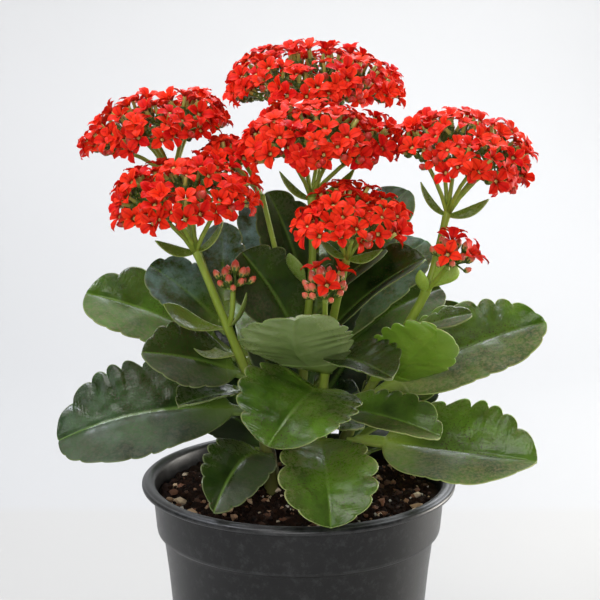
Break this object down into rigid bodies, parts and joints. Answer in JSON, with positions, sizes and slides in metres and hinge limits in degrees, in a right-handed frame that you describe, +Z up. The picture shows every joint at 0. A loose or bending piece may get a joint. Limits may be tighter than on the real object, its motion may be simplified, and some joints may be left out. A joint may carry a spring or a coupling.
{
  "type": "potted kalanchoe",
  "caption": "Flowering succulent in a round nursery pot: broad scalloped leaves on upright stems, under umbrella heads of small red flowers.",
  "frame": {"origin": "centre of the pot's flat underside", "axes": "+Z up, the way the plant grows; -Y is the front, the side that the picture shows"},
  "size_m": [0.216, 0.1736, 0.3103],
  "materials": {
    "pot_plastic": "satin, scuffed",
    "potting_soil": "rough and crumbly",
    "stem_green": "smooth, waxy",
    "leaf_green": "smooth, waxy gloss",
    "petal_red": "soft satin"
  },
  "bodies": {
    "root": {"pot": "pot_plastic", "soil": "potting_soil", "stem_left_front": "stem_green", "stem_left_back": "stem_green", "stem_back": "stem_green", "stem_middle": "stem_green", "stem_right": "stem_green", "stem_right_front": "stem_green", "leaf_left_low": "leaf_green", "leaf_left_back": "leaf_green", "leaf_left_high": "leaf_green", "leaf_left_middle": "leaf_green", "leaf_left_folded": "leaf_green", "leaf_front_left": "leaf_green", "leaf_front_broad": "leaf_green", "leaf_front_raised": "leaf_green", "leaf_front_low": "leaf_green", "leaf_front_right_small": "leaf_green", "leaf_right_bright": "leaf_green", "leaf_right_large": "leaf_green", "leaf_right_low": "leaf_green", "leaf_right_narrow": "leaf_green", "leaf_right_folded": "leaf_green", "leaf_right_under": "leaf_green", "leaf_upright_right": "leaf_green", "leaf_upright_inner": "leaf_green", "leaf_upright_back_right": "leaf_green", "leaf_back_right": "leaf_green", "leaf_back_right_low": "leaf_green", "leaf_back_right_far": "leaf_green", "leaf_upright_back": "leaf_green", "leaf_upright_left": "leaf_green", "leaf_upright_far_left": "leaf_green", "leaf_upright_middle": "leaf_green", "leaf_inner_left": "leaf_green", "leaf_rear_low": "leaf_green", "leaf_rear_left": "leaf_green", "leaf_rear_right": "leaf_green", "leaf_rear_middle": "leaf_green", "leaf_rear_far_left": "leaf_green", "leaf_rear_far_right": "leaf_green", "leaf_rear_high": "leaf_green", "leaf_rear_high_left": "leaf_green", "head_top": "petal_red", "head_left_back": "petal_red", "head_left_front": "petal_red", "head_middle": "petal_red", "head_middle_side": "petal_red", "head_right": "petal_red", "head_right_front": "petal_red", "young_head_right": "petal_red", "young_head_front": "petal_red", "young_head_left": "petal_red"}
  },
  "joints": []
}
